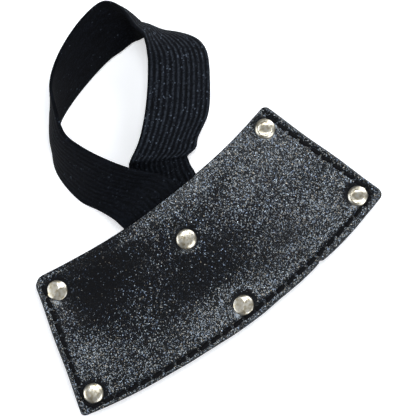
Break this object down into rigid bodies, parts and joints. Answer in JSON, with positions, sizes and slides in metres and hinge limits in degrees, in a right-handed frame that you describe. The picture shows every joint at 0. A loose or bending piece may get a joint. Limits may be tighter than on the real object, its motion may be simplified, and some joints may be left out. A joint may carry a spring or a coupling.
{
  "type": "axe blade cover",
  "caption": "Black leather cover for an axe's cutting edge, stitched and riveted on three sides, with a ribbed elastic loop that goes round the poll.",
  "frame": {"origin": "middle of the back panel's outer face, on the sheath's line of symmetry", "axes": "+X along the cutting edge, +Y out of the open mouth towards the elastic loop, +Z out of the front panel"},
  "size_m": [0.1636, 0.1507, 0.0298],
  "materials": {
    "panel_leather": "black coated leather with a fine glittering grain",
    "welt_leather": "black leather, cut edge",
    "thread": "black waxed polyester thread",
    "nickel": "polished nickel plate",
    "elastic": "black ribbed woven elastic"
  },
  "bodies": {
    "sheath": {"front_panel": "panel_leather", "back_panel": "panel_leather", "welt": "welt_leather", "front_thread": "thread", "back_thread": "thread", "rivet_mouth_right_cap": "nickel", "rivet_mouth_right_post": "nickel", "rivet_mouth_left_cap": "nickel", "rivet_mouth_left_post": "nickel", "rivet_edge_right_cap": "nickel", "rivet_edge_right_post": "nickel", "rivet_edge_left_cap": "nickel", "rivet_edge_left_post": "nickel", "rivet_edge_middle_cap": "nickel", "rivet_edge_middle_post": "nickel", "rivet_centre_front_cap": "nickel", "rivet_centre_front_post": "nickel", "rivet_centre_back_cap": "nickel", "rivet_centre_back_post": "nickel", "elastic_end_front": "elastic", "elastic_end_back": "elastic"},
    "loop": {"elastic_loop": "elastic"}
  },
  "joints": [
    {"name": "loop_swing", "type": "hinge", "parent": "sheath", "child": "loop", "pos_m": [0, 0.0376, 0.0063], "axis": [1, 0, 0], "range_deg": [0, 90]}
  ]
}
